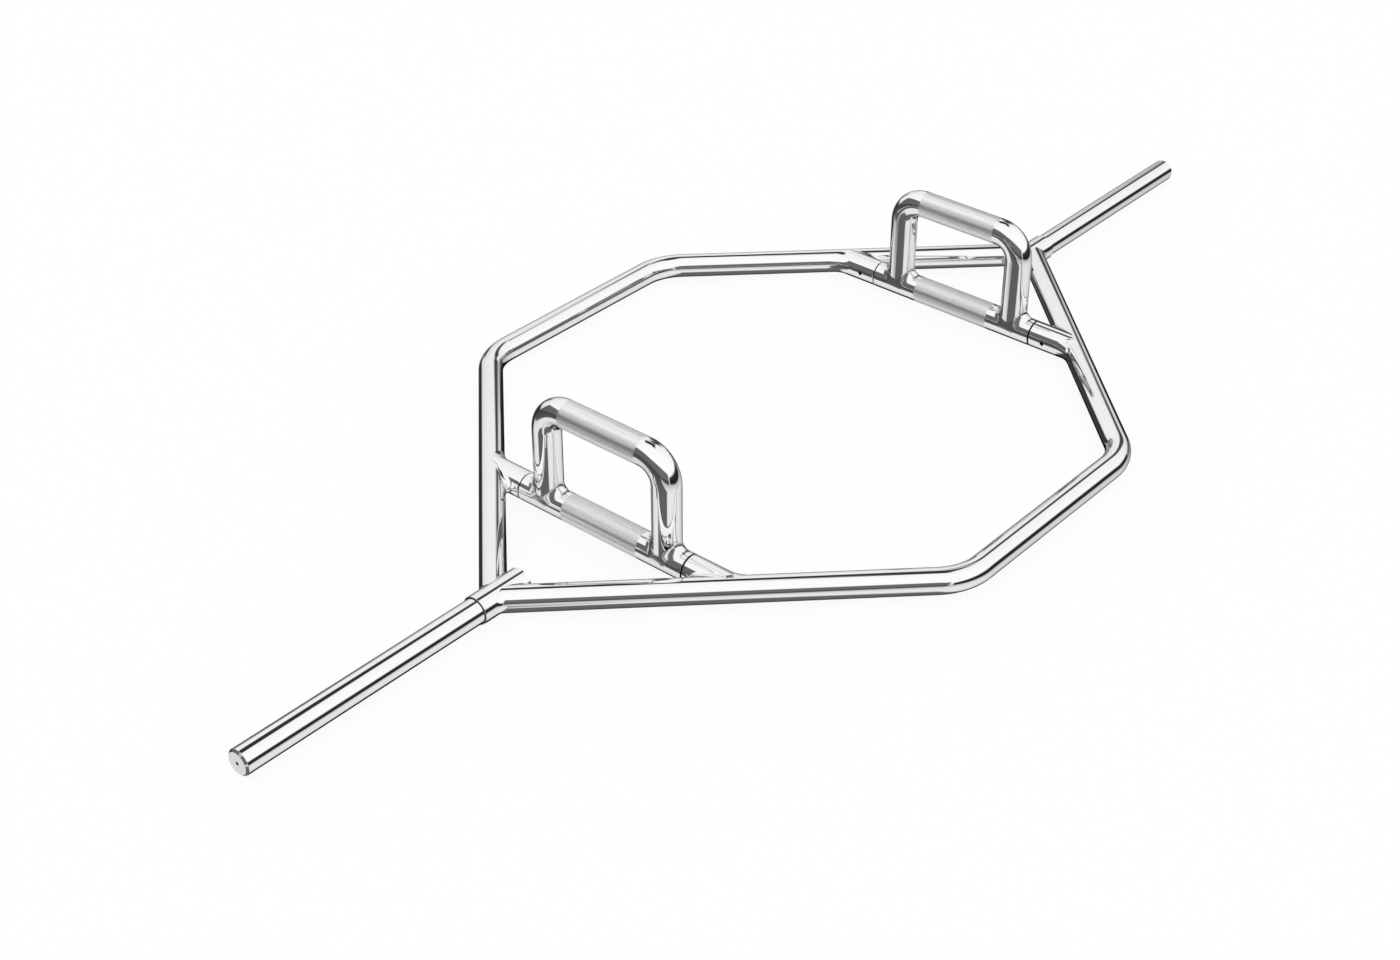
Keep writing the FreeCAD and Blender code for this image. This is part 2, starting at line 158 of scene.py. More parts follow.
# Fineness of the noises in cells per metre, their octaves, and the values between which they lie
CLOUD_SCALE = 38.0
CLOUD_DETAIL = 3.0
MARK_DETAIL = 4.0
TURNING_MARKS = 2600.0
NOISE_RANGE = (0.3, 0.7)
WHITE = (1, 1, 1, 1)

# Studio: a white room with dark flags, which the chrome mirrors as stripes.
# Each flag: azimuth and elevation of its middle, half width, half height, roll,
# soft edge, all in degrees, and how much light it takes away.
FLAGS = (
    # low flags in front, to the left, behind and to the right
    (-62, -1, 46, 12, 0, 8, 0.97),
    (-3, -2, 13, 8, 0, 8, 0.75),
    (-152, 11, 40, 18, 10, 7, 0.86),
    (150, 3, 49, 31, 0, 8, 0.87),
    (85, -18, 18, 16, 0, 8, 0.92),
    (75, -38, 22, 13, 0, 8, 0.92),
    (64, 2, 5, 10, 0, 6, 0.80),
    # a bent upright flag far beyond the right end
    (18, 33, 7, 14, 20, 6, 0.93),
    (23.5, 11, 8, 14, 0, 6, 0.93),
    (15, -14, 17, 6.5, 55, 6, 0.95),
    # a bent flag overhead
    (32, 60, 13, 10.5, 10, 6, 0.97),
    (13, 68, 5, 8.5, -30, 6, 0.95),
    # flags under the bar, the far one black
    (36, -47, 26, 24, 0, 6, 0.99),
    (-171, -35, 25, 23, 41, 8, 0.86),
    (-143, -81, 18, 32, -12, 8, 0.84),
)
# Keeps a flag's reach finite at right angles to its middle
LEAST_AHEAD = 1e-3
# The sky is brightest behind the camera
SKY_LIGHT = 1.03
SKY_LIGHT_FAR = 0.94
SKY_SIDE = (-0.64, -0.77, 0.0)
SKY_RAMP = (-0.7, 0.5)
GROUND_LIGHT = 0.84
GROUND_LIGHT_FAR = 0.48
# Heights of the mirrored ray over which the ground darkens, and gives way to the sky
GROUND_RAMP = (-0.55, -0.10)
HORIZON_RAMP = (-0.05, 0.05)

FLOOR_HALF = 6.0
FLOOR_DROP = 0.0004
FLOOR_COVER = 0.10
FLOOR_COLOUR = (0.97, 0.97, 0.97, 1)

# The photograph's viewpoint, with angles in degrees and the lens in millimetres
CAMERA_PLACE = (-1.47897, -1.13441, 1.16460)
CAMERA_AZIMUTH = 40.4066
CAMERA_ELEVATION = -33.667
CAMERA_ROLL = 0.1682
CAMERA_LENS = 56.489
CAMERA_SENSOR = 36.0


def unit(vector):
    """The vector or vectors at length one."""
    return vector / np.linalg.norm(vector, axis=-1, keepdims=True)


def smooth(share):
    """A soft step from 0 to 1."""
    share = np.clip(share, 0, 1)
    return share * share * (3 - 2 * share)


def heading(azimuth, elevation):
    """The direction at an azimuth and an elevation, in degrees."""
    turn, rise = math.radians(azimuth), math.radians(elevation)
    return np.array([math.cos(rise) * math.cos(turn), math.cos(rise) * math.sin(turn), math.sin(rise)])


def rolled_axes(ahead, roll):
    """The ways right and up for a view ahead, rolled by so many degrees."""
    level = unit(np.cross(ahead, Z_AXIS))
    upright = np.cross(level, ahead)
    lean, stand = math.sin(math.radians(roll)), math.cos(math.radians(roll))
    return stand * level + lean * upright, stand * upright - lean * level


class Shell:
    """A closed skin made of rings of points, with a normal at every point.

    coats are its materials. Faces take the first one unless they are given another.
    """

    def __init__(self, *coats):
        self.coats = coats
        self.points = []
        self.normals = []
        self.faces = []
        self.marks = []
        self.facets = []

    def ring(self, points, normals):
        """Add points and return their numbers."""
        first = len(self.points)
        self.points.extend(points)
        self.normals.extend(normals)
        return np.arange(first, first + len(points))

    def add(self, faces, coat=None, facet=False):
        """Add faces in one coat, shaded flat if they are facets."""
        mark = 0 if coat is None else self.coats.index(coat)
        self.faces.extend(tuple(int(corner) for corner in face) for face in faces)
        self.marks.extend([mark] * len(faces))
        self.facets.extend([facet] * len(faces))

    def join(self, ring_a, ring_b, coat=None, facet=False):
        """A strip of quads between two closed rings of as many points."""
        next_a, next_b = np.roll(ring_a, -1), np.roll(ring_b, -1)
        self.add(list(zip(ring_a, next_a, next_b, ring_b)), coat, facet)

    def strips(self, rings):
        """Strips of quads from each ring to the next."""
        for ring_a, ring_b in zip(rings, rings[1:]):
            self.join(ring_a, ring_b)

    def fan(self, ring, tip, normal, coat=None):
        """Close a ring with triangles that meet in one point."""
        middle = self.ring([tip], [normal])[0]
        self.add([(a, b, middle) for a, b in zip(ring, np.roll(ring, -1))], coat, True)

    def piece(self, name):
        """The finished object, its faces pointing out and its normals as given."""
        mesh = bpy.data.meshes.new(name)
        mesh.from_pydata([tuple(point) for point in self.points], [], self.faces)
        for coat in self.coats:
            mesh.materials.append(coat)
        mesh.polygons.foreach_set("material_index", self.marks)
        mesh.polygons.foreach_set("use_smooth", [not facet for facet in self.facets])
        skin = bmesh.new()
        skin.from_mesh(mesh)
        bmesh.ops.recalc_face_normals(skin, faces=skin.faces)
        skin.to_mesh(mesh)
        skin.free()
        corners = np.zeros(len(mesh.loops), np.int32)
        mesh.loops.foreach_get("vertex_index", corners)
        corner_normals = np.array(self.normals, float)[corners]
        corner_counts = np.zeros(len(mesh.polygons), np.int32)
        mesh.polygons.foreach_get("loop_total", corner_counts)
        # A zero stands for the face's own normal
        corner_normals[np.repeat(self.facets, corner_counts)] = 0
        mesh.normals_split_custom_set(corner_normals)
        item = bpy.data.objects.new(name, mesh)
        bpy.context.scene.collection.objects.link(item)
        return item


class Bar:
    """A round bar: a point on its axis, its direction and its radius."""

    def __init__(self, point, along, radius):
        self.point = np.array(point, float)
        self.along = unit(np.array(along, float))
        self.radius = radius

    def off_axis(self, points):
        """What lies square to the axis."""
        reach = points - self.point
        return reach - (reach @ self.along)[..., None] * self.along

    def distance(self, points):
        """How far points stand off the bar's surface."""
        return np.linalg.norm(self.off_axis(points), axis=-1) - self.radius

    def entry(self, starts, along, grown=0.0):
        """How far lines run before they enter the bar, grown by so much, or pass it most closely."""
        offset = self.off_axis(starts)
        slope = along - (along @ self.along) * self.along
        a = slope @ slope
        b = offset @ slope
        c = (offset * offset).sum(-1) - (self.radius + grown) ** 2
        return (-b - np.sqrt(np.maximum(b * b - a * c, 0))) / a


def circle(centre, across, up, radius):
    """The points and normals of one ring of a round bar."""
    normals = np.cos(TURNS)[:, None] * across + np.sin(TURNS)[:, None] * up
    return np.array(centre) + radius * normals, normals


def way_out(skin, starts, rays, reach):
    """How far rays run from inside a skin before they leave it. The skin is a signed distance."""
    near, far = np.zeros(len(rays)), np.full(len(rays), reach)
    for _ in range(HALVINGS):
        middle = (near + far) / 2
        outside = skin(starts + middle[:, None] * rays) > 0
        far = np.where(outside, middle, far)
        near = np.where(outside, near, middle)
    return near


def skin_normals(skin, points):
    """The steepest way out of a skin at points on it."""
    slopes = [skin(points + HAIR * axis) - skin(points - HAIR * axis) for axis in np.eye(3)]
    return unit(np.stack(slopes, -1))


def weld_rings(branch, across, up, run, size, lowered=0.0, least=0.0):
    """Rings from a branch's surface, round its weld, onto the bar that it meets, and their normals.

    The skin is the rounded union of the two bars. The weld is widest where they
    meet squarely and fades to the least share of its size where they are tangent.
    lowered is the share by which the branch is dressed down to the run's crest.
    """
    along = branch.along
    toward = unit(run.off_axis(branch.point))
    flank = unit(np.cross(along, run.along))
    wide = np.cross(flank, along)

    def weld_size(points):
        share = ((points - branch.point) @ flank) / branch.radius
        return size * (1 - (1 - least) * np.minimum(share ** 2, 1)) + HAIR

    def union(points):
        reach = points - branch.point
        above = (points - run.point) @ toward
        dressed = smooth((STUB_DRESS_START - above) / (STUB_DRESS_START - STUB_DRESS_FULL))
        shrink = 1 - lowered * dressed
        off_branch = np.hypot((reach @ flank) / shrink, reach @ wide) - branch.radius
        # The branch ends at the run's axis
        off_branch = np.maximum(off_branch, -above)
        off_run = run.distance(points)
        weld = weld_size(points)
        inside = np.hypot(np.maximum(weld - off_branch, 0), np.maximum(weld - off_run, 0))
        return np.maximum(weld, np.minimum(off_branch, off_run)) - inside

    edge, out = circle(branch.point, across, up, branch.radius)
    inner, _ = circle(branch.point, across, up, branch.radius - WELD_ROOT)
    anchor = inner + (run.entry(inner, along) + WELD_ROOT)[:, None] * along
    weld = weld_size(edge) + WELD_MARGIN
    start = edge + run.entry(edge, along, weld)[:, None] * along
    outer = edge + weld[:, None] * out
    stop = outer + run.entry(outer, along)[:, None] * along
    # A line that passes beside the run ends further on
    stop = stop + np.clip(WELD_MISS_SHARE * run.distance(stop), 0, weld)[:, None] * along

    def bearing(points):
        return np.arctan2(((points - anchor) * out).sum(-1), -(points - anchor) @ along)

    first, last = bearing(start), bearing(stop)
    rings, normals = [], []
    for step in range(WELD_STEPS + 1):
        angle = first + (last - first) * step / WELD_STEPS
        rays = np.sin(angle)[:, None] * out - np.cos(angle)[:, None] * along
        points = anchor + way_out(union, anchor, rays, SEARCH_RADII * branch.radius)[:, None] * rays
        rings.append(points)
        normals.append(skin_normals(union, points))
    rings[-1] = rings[-1] - WELD_SINK * normals[-1]
    return rings, normals


def rounded(corners):
    """A lathe outline whose corners are small arcs.

    corners are (along, radius, round) triples. A corner with no round is one point.
    Returns points and normals in the plane of the axis, the normals to the left of
    the way along the outline, and the number of each point's corner.
    """
    spots = np.array([corner[:2] for corner in corners], float)
    points, normals, owners = [], [], []
    for i, (_, _, round_off) in enumerate(corners):
        here = spots[i]
        into = unit(here - spots[i - 1]) if i else unit(spots[1] - here)
        out = unit(spots[i + 1] - here) if i + 1 < len(corners) else into
        turn = math.atan2(into[0] * out[1] - into[1] * out[0], into @ out)
        back = round_off * abs(math.tan(turn / 2))
        side = math.copysign(round_off, turn)
        first_normal = np.array([-into[1], into[0]])
        for share in ROUND_SHARES if round_off else SHARP_SHARES:
            angle = turn * share
            normal = math.cos(angle) * first_normal - math.sin(angle) * into
            points.append(here - back * into + side * (first_normal - normal))
            normals.append(normal)
            owners.append(i)
    return points, normals, owners


def lathe_rings(shell, corners, origin, along, across, up, coats=None):
    """Turn an outline round an axis and return its first and last ring.

    coats gives the material from each corner to the next.
    """
    spots, normals, owners = rounded(corners)
    rings = []
    for (place, radius), (lean, out) in zip(spots, normals):
        points, outward = circle(origin + place * along, across, up, radius)
        rings.append(shell.ring(points, out * outward + lean * along))
    for ring_a, ring_b, owner in zip(rings, rings[1:], owners):
        shell.join(ring_a, ring_b, coats[owner] if coats else None)
    return rings[0], rings[-1]


def bent_path(start, corner, end, radius):
    """Points and directions along the arc that joins two straights at a corner."""
    into, out = unit(corner - start), unit(end - corner)
    angle = math.acos(np.clip(into @ out, -1, 1))
    reach = radius * math.tan(angle / 2)
    inward = unit(out - (out @ into) * into)
    centre = corner - reach * into + radius * inward
    path = []
    for step in range(BEND_STEPS + 1):
        turn = angle * step / BEND_STEPS
        way = math.cos(turn) * into + math.sin(turn) * inward
        path.append((centre + radius * (math.sin(turn) * into - math.cos(turn) * inward), way))
    return path


def dress(shell, name, body, node):
    """Finish a piece, tie it to its body and hide the node that it stands for."""
    item = shell.piece(name)
    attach(item, body)
    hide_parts(node)


# Shader nodes
def put(tree, socket, given):
    """Set a socket to a number, or link another socket to it."""
    if isinstance(given, (int, float)):
        socket.default_value = given
    else:
        tree.links.new(given, socket)


def math_node(tree, operation, *given):
    """One math step on sockets or numbers."""
    node = tree.nodes.new("ShaderNodeMath")
    node.operation = operation
    for socket, item in zip(node.inputs, given):
        put(tree, socket, item)
    return node.outputs[0]


def map_range(tree, value, from_low, from_high, low, high, kind="LINEAR"):
    """Map a value from one range onto another, held at the ends."""
    node = tree.nodes.new("ShaderNodeMapRange")
    node.interpolation_type = kind
    tree.links.new(value, node.inputs["Value"])
    sockets = ("From Min", "From Max", "To Min", "To Max")
    for socket, given in zip(sockets, (from_low, from_high, low, high)):
        put(tree, node.inputs[socket], given)
    return node.outputs["Result"]


def noise(tree, vector, detail, scale=1.0):
    """Fractal noise."""
    node = tree.nodes.new("ShaderNodeTexNoise")
    node.inputs["Scale"].default_value = scale
    node.inputs["Detail"].default_value = detail
    tree.links.new(vector, node.inputs["Vector"])
    return node.outputs["Fac"]


def stretched(tree, vector, scales):
    """Coordinates scaled by axis, for marks that run one way."""
    node = tree.nodes.new("ShaderNodeMapping")
    node.inputs["Scale"].default_value = scales
    tree.links.new(vector, node.inputs["Vector"])
    return node.outputs["Vector"]


def turning_rings(tree, place):
    """Marks of a lathe about the sleeves' axis, on their sides and on their end faces."""
    split = tree.nodes.new("ShaderNodeSeparateXYZ")
    tree.links.new(place, split.inputs["Vector"])
    x, y = split.outputs["X"], split.outputs["Y"]
    z = math_node(tree, "SUBTRACT", split.outputs["Z"], AXIS_Z)
    y_squared = math_node(tree, "MULTIPLY", y, y)
    z_squared = math_node(tree, "MULTIPLY", z, z)
    radius = math_node(tree, "SQRT", math_node(tree, "ADD", y_squared, z_squared))
    node = tree.nodes.new("ShaderNodeTexNoise")
    node.noise_dimensions = "1D"
    node.inputs["Scale"].default_value = TURNING_MARKS
    tree.links.new(math_node(tree, "ADD", x, radius), node.inputs["W"])
    return node.outputs["Fac"]


def two_tone(tree, factor, dark, light):
    """A colour that wanders between two."""
    node = tree.nodes.new("ShaderNodeMix")
    node.data_type = "RGBA"
    node.inputs["A"].default_value = (*dark, 1)
    node.inputs["B"].default_value = (*light, 1)
    tree.links.new(factor, node.inputs["Factor"])
    return node.outputs["Result"]


def bump(tree, height, distance, shader):
    """Fine relief on the shader's normal."""
    node = tree.nodes.new("ShaderNodeBump")
    node.inputs["Distance"].default_value = distance
    tree.links.new(height, node.inputs["Height"])
    tree.links.new(node.outputs["Normal"], shader.inputs["Normal"])


def metal(name, tones, rough, relief, marks, turned=False, edge=EDGE_TINT):
    """A plated or bare metal: a wandering tone, a wandering gloss and fine marks.

    marks is the fineness of the marks along each axis, in cells per metre.
    """
    material = bpy.data.materials.new(name)
    material.use_nodes = True
    tree = material.node_tree
    tree.nodes.clear()
    output = tree.nodes.new("ShaderNodeOutputMaterial")
    shader = tree.nodes.new("ShaderNodeBsdfPrincipled")
    tree.links.new(shader.outputs["BSDF"], output.inputs["Surface"])
    shader.inputs["Metallic"].default_value = 1.0
    shader.inputs["Specular Tint"].default_value = (edge, edge, edge, 1)
    place = tree.nodes.new("ShaderNodeTexCoord").outputs["Object"]
    cloud = noise(tree, place, CLOUD_DETAIL, CLOUD_SCALE)
    tree.links.new(two_tone(tree, cloud, *tones), shader.inputs["Base Color"])
    height = noise(tree, stretched(tree, place, marks), MARK_DETAIL)
    if turned:
        # The mean of both kinds of marks
        both = math_node(tree, "ADD", height, turning_rings(tree, place))
        height = math_node(tree, "MULTIPLY", both, 0.5)
    gloss = map_range(tree, height, *NOISE_RANGE, *rough)
    tree.links.new(gloss, shader.inputs["Roughness"])
    bump(tree, height, relief, shader)
    return material


# Metals
frame_chrome, handle_chrome = (
    metal(name, tones=CHROME_TONES, rough=(0.025, 0.055), relief=4e-7, marks=(900.0,) * 3)
    for name in ("frame_chrome", "handle_chrome")
)
sleeve_chrome = metal(
    "sleeve_chrome",
    tones=CHROME_TONES,
    rough=(0.03, 0.075),
    relief=5e-7,
    marks=(1600.0, 60.0, 60.0),
    turned=True,
)
weld_chrome = metal(
    "weld_chrome",
    tones=((0.87, 0.875, 0.885), (0.92, 0.925, 0.93)),
    rough=(0.09, 0.16),
    relief=2e-6,
    marks=(420.0,) * 3,
)
knurl_chrome = metal(
    "knurl_chrome",
    tones=((0.94, 0.942, 0.945), (0.972, 0.974, 0.977)),
    rough=(0.26, 0.34),
    relief=3e-6,
    marks=(1500.0,) * 3,
    edge=KNURL_EDGE_TINT,
)
bush_bronze = metal(
    "bush_bronze",
    tones=((0.03, 0.021, 0.014), (0.06, 0.041, 0.027)),
    rough=(0.35, 0.55),
    relief=8e-6,
    marks=(1200.0,) * 3,
)
# Painted shade: a near-black coat on seam faces, chamfers, bores and pin holes, standing in for the
# shade in the joints between parts and in the holes
seam_painted_shade = metal(
    "seam_painted_shade",
    tones=((0.022, 0.017, 0.014), (0.045, 0.034, 0.027)),
    rough=(0.4, 0.6),
    relief=5e-6,
    marks=(1400.0,) * 3,
)
pin_steel = metal(
    "pin_steel",
    tones=((0.50, 0.50, 0.51), (0.62, 0.62, 0.63)),
    rough=(0.2, 0.4),
    relief=3e-6,
    marks=(300.0, 2500.0, 300.0),
)
# Black oxide for the grub screws; the same coat paints the holes black, as painted shade
screw_black = metal(
    "screw_black",
    tones=((0.010, 0.010, 0.012), (0.028, 0.028, 0.03)),
    rough=(0.4, 0.6),
    relief=5e-6,
    marks=(1800.0,) * 3,
)


# Frame tubes, each from one sleeve socket round two bends to the other
def frame_tube(side, sign):
    """One half of the hexagon, welded to the sockets at both points."""
    corners = [np.array([x, sign * y, AXIS_Z]) for x, y in (
        (-APEX_X, 0), (-CORNER_X, CORNER_Y), (CORNER_X, CORNER_Y), (APEX_X, 0)
    )]
    socket = Bar((0, 0, AXIS_Z), X_AXIS, SOCKET_RADIUS)

    def sideways(way):
        return np.cross(way, Z_AXIS)

    def end_rings(bend, apex):
        way = unit(apex - bend)
        branch = Bar(bend, way, FRAME_RADIUS)
        return weld_rings(branch, sideways(way), Z_AXIS, socket, SOCKET_WELD)

    path = bent_path(*corners[:3], FRAME_BEND) + bent_path(*corners[1:], FRAME_BEND)
    # A ring seen from the left end runs the other way round
    mirror = (AROUND // 2 - np.arange(AROUND)) % AROUND
    left_points, left_normals = end_rings(path[0][0], corners[0])
    right_end = end_rings(path[-1][0], corners[3])

    shell = Shell(frame_chrome)
    rings = []
    for points, normals in zip(reversed(left_points), reversed(left_normals)):
        rings.append(shell.ring(points[mirror], normals[mirror]))
    for place, way in path:
        rings.append(shell.ring(*circle(place, sideways(way), Z_AXIS, FRAME_RADIUS)))
    for ring in zip(*right_end):
        rings.append(shell.ring(*ring))
    shell.strips(rings)
    shell.fan(rings[0], corners[0], X_AXIS)
    shell.fan(rings[-1], corners[3], -X_AXIS)
    dress(shell, f"{side}_tube", "frame", f"{side}_frame_tube")


# Sockets and sleeves, turned about the bar's axis
def socket_and_sleeve(end, sign):
    """The short socket at one point of the hexagon and the sleeve that fills it."""
    origin = np.array([0, 0, AXIS_Z])
    along = sign * X_AXIS
    axes = (origin, along, sign * Y_AXIS, Z_AXIS)

    # The socket's outer face is painted dark, as painted shade in the joint beside the sleeve
    shell = Shell(frame_chrome, seam_painted_shade)
    first, last = lathe_rings(shell, (
        (SOCKET_INNER, SOCKET_BORE, 0),
        (SOCKET_INNER, SOCKET_RADIUS - SOCKET_EDGE_DEPTH, SHARP_ROUND),
        (SOCKET_INNER + SOCKET_EDGE_LENGTH, SOCKET_RADIUS, SHARP_ROUND),
        (SOCKET_OUTER - SOCKET_EDGE_LENGTH, SOCKET_RADIUS, SHARP_ROUND),
        (SOCKET_OUTER, SOCKET_RADIUS - SOCKET_EDGE_DEPTH, SHARP_ROUND),
        (SOCKET_OUTER, SOCKET_BORE, 0),
    ), *axes, [frame_chrome] * 4 + [seam_painted_shade])
    shell.join(last, first)
    dress(shell, f"{end}_socket", "frame", f"{end}_sleeve_socket")

    shell = Shell(sleeve_chrome, screw_black)
    first, last = lathe_rings(shell, (
        (SPIGOT_START, SPIGOT_RADIUS, 0),
        (SOCKET_OUTER, SPIGOT_RADIUS, 0),
        (SOCKET_OUTER, SLEEVE_RADIUS, EDGE_ROUND),
        (SLEEVE_END - SLEEVE_CHAMFER, SLEEVE_RADIUS, EDGE_ROUND),
        (SLEEVE_END, SLEEVE_RADIUS - SLEEVE_CHAMFER, EDGE_ROUND),
        (SLEEVE_END, CENTRE_HOLE_RADIUS, 0),
    ), *axes)
    shell.fan(first, origin + SPIGOT_START * along, -along)
    # The lathe centre in the end face is painted black, as painted shade in the hole
    hole_floor = origin + (SLEEVE_END - CENTRE_HOLE_DEPTH) * along
    bottom = shell.ring(*circle(hole_floor, sign * Y_AXIS, Z_AXIS, CENTRE_HOLE_RADIUS))
    shell.join(last, bottom, screw_black, True)
    shell.fan(bottom, hole_floor, along, screw_black)
    dress(shell, f"{end}_plate_sleeve", "frame", f"{end}_sleeve")


# Stubs, coped and welded to the slanted tubes
def stub(end, across_sign, side, along_sign):
    """A stub from the seam to the frame tube, with its pin hole and its screw hole."""
    along = along_sign * Y_AXIS
    inward = -across_sign * X_AXIS
    seam = np.array([across_sign * HANDLE_X, along_sign * STUB_FACE, AXIS_Z])
    slant = (across_sign * (CORNER_X - APEX_X), along_sign * CORNER_Y, 0)
    run = Bar((across_sign * APEX_X, 0, AXIS_Z), slant, FRAME_RADIUS)
    branch = Bar(seam, along, HANDLE_RADIUS)
    points, normals = weld_rings(branch, inward, Z_AXIS, run, STUB_WELD, lowered=STUB_DRESS_SHARE)

    # The stub's end face and pin hole are painted dark, as painted shade in the seam and the hole
    shell = Shell(frame_chrome, screw_black, seam_painted_shade)
    pin_floor, edge = lathe_rings(shell, (
        (PIN_HOLE_DEPTH, PIN_HOLE_RADIUS, 0),
        (0, PIN_HOLE_RADIUS, EDGE_ROUND),
        (0, HANDLE_RADIUS - SEAM_CHAMFER, SHARP_ROUND),
        (SEAM_CHAMFER, HANDLE_RADIUS, SHARP_ROUND),
        (SEAM_EDGE, HANDLE_RADIUS, 0),
    ), seam, along, inward, Z_AXIS, (seam_painted_shade, seam_painted_shade, frame_chrome, frame_chrome))
    shell.fan(pin_floor, seam + PIN_HOLE_DEPTH * along, -along, seam_painted_shade)

    # Rows of points from the seam to the weld, and how far along the stub they lie
    weld_start = (points[0] - seam) @ along
    skin, outward = circle(seam, inward, Z_AXIS, HANDLE_RADIUS)
    rows = [edge]
    places = [np.full(AROUND, SEAM_EDGE)]
    for row in range(1, STUB_ROWS):
        place = SEAM_EDGE + (weld_start - SEAM_EDGE) * row / STUB_ROWS
        rows.append(shell.ring(skin + place[:, None] * along, outward))
        places.append(place)
    rows.append(shell.ring(points[0], normals[0]))
    places.append(weld_start)
    grid, depth = np.array(rows), np.array(places)

    # The screw enters on the inner side, where the rings begin
    middle_row = int(np.argmin(abs(depth[:, 0] - SCREW_SETBACK)))
    low_row, high_row = middle_row - HOLE_ROWS, middle_row + HOLE_ROWS
    columns = np.arange(AROUND)
    near = (columns < HOLE_COLUMNS) | (columns >= AROUND - HOLE_COLUMNS)
    for row in range(STUB_ROWS):
        quads = zip(grid[row], np.roll(grid[row], -1), np.roll(grid[row + 1], -1), grid[row + 1])
        window = near & (low_row <= row < high_row)
        shell.add([quad for quad, hole in zip(quads, window) if not hole])
    add_screw_hole(shell, grid, depth, low_row, high_row, seam, along, inward)

    rings = [rows[-1]] + [shell.ring(*ring) for ring in zip(points[1:], normals[1:])]
    shell.strips(rings)
    shell.fan(rings[-1], run_crossing(run, seam, along), -along)
    dress(shell, f"{end}_{side}_handle_stub", "frame", f"{end}_{side}_stub")


def run_crossing(run, seam, along):
    """Where a stub's axis crosses the frame tube's axis."""
    toward = np.cross(run.along, Z_AXIS)
    reach = ((run.point - seam) @ toward) / (along @ toward)
    return seam + reach * along


def add_screw_hole(shell, grid, depth, low_row, high_row, seam, along, inward):
    """Fill a window in a stub's skin with rings that close in on the screw's hole."""
    columns = list(range(-HOLE_COLUMNS, HOLE_COLUMNS + 1))
    window = [(low_row, c) for c in columns]
    window += [(r, HOLE_COLUMNS) for r in range(low_row + 1, high_row + 1)]
    window += [(high_row, c) for c in reversed(columns[:-1])]
    window += [(r, -HOLE_COLUMNS) for r in range(high_row - 1, low_row, -1)]
    border = np.array([grid[r, c % AROUND] for r, c in window])
    middle = seam + SCREW_SETBACK * along
    # Unrolled places of the border, seen from the hole's middle
    ahead = np.array([depth[r, c % AROUND] - SCREW_SETBACK for r, c in window])
    around = np.array([HANDLE_RADIUS * 2 * math.pi * c / AROUND for _, c in window])
    spots = np.stack([ahead, around], -1)
    bearings = np.arctan2(around, ahead)
    rim = np.stack([np.cos(bearings), np.sin(bearings)], -1)

    def on_skin(flat):
        angle = flat[:, 1] / HANDLE_RADIUS
        out = np.cos(angle)[:, None] * inward + np.sin(angle)[:, None] * Z_AXIS
        return middle + flat[:, :1] * along + HANDLE_RADIUS * out, out

    last = border
    edge = (SCREW_HOLE_RADIUS + SCREW_HOLE_EDGE) * rim
    for step in range(1, HOLE_RINGS + 1):
        ring = shell.ring(*on_skin(spots + (edge - spots) * step / HOLE_RINGS))
        shell.join(last, ring)
        last = ring
    toward_rim = rim[:, :1] * along + rim[:, 1:] * Z_AXIS
    rim_height = np.sqrt(HANDLE_RADIUS ** 2 - (SCREW_HOLE_RADIUS * rim[:, 1]) ** 2) - SCREW_HOLE_EDGE
    # The screw hole's wall and floor are painted black, as painted shade in the hole
    for height in (rim_height, np.full(len(rim), SCREW_HOLE_FLOOR)):
        points = middle + SCREW_HOLE_RADIUS * toward_rim + height[:, None] * inward
        ring = shell.ring(points, -toward_rim)
        shell.join(last, ring, screw_black)
        last = ring
    shell.fan(last, middle + SCREW_HOLE_FLOOR * inward, inward, screw_black)


# Handles
def add_knurl(shell, centre, along, across, up):
    """Pyramids round a bar. Returns the rings at the two ends, at the valleys' depth."""
    columns, rows = AROUND, 2 * KNURL_ROWS
    steps = np.linspace(-KNURL_HALF_LENGTH, KNURL_HALF_LENGTH, rows + 1)
    numbers = []
    for row, step in enumerate(steps):
        at_end = row in (0, rows)
        peak = (np.arange(columns) + row) % 2 == 1
        radius = np.where(peak & (not at_end), KNURL_PEAK, KNURL_VALLEY)
        points, outward = circle(centre + step * along, across, up, radius[:, None])
        numbers.append(shell.ring(points, outward))
    grid = np.array(numbers)
    faces = []
    for row in range(rows + 1):
        for column in range((row + 1) % 2, columns, 2):
            tip = grid[row, column]
            left, right = grid[row, column - 1], grid[row, (column + 1) % columns]
            if row > 0:
                low = grid[row - 1, column]
                faces += [(tip, left, low), (tip, low, right)]
            if row < rows:
                high = grid[row + 1, column]
                faces += [(tip, right, high), (tip, high, left)]
    shell.add(faces, knurl_chrome, True)
    return grid[0], grid[-1]


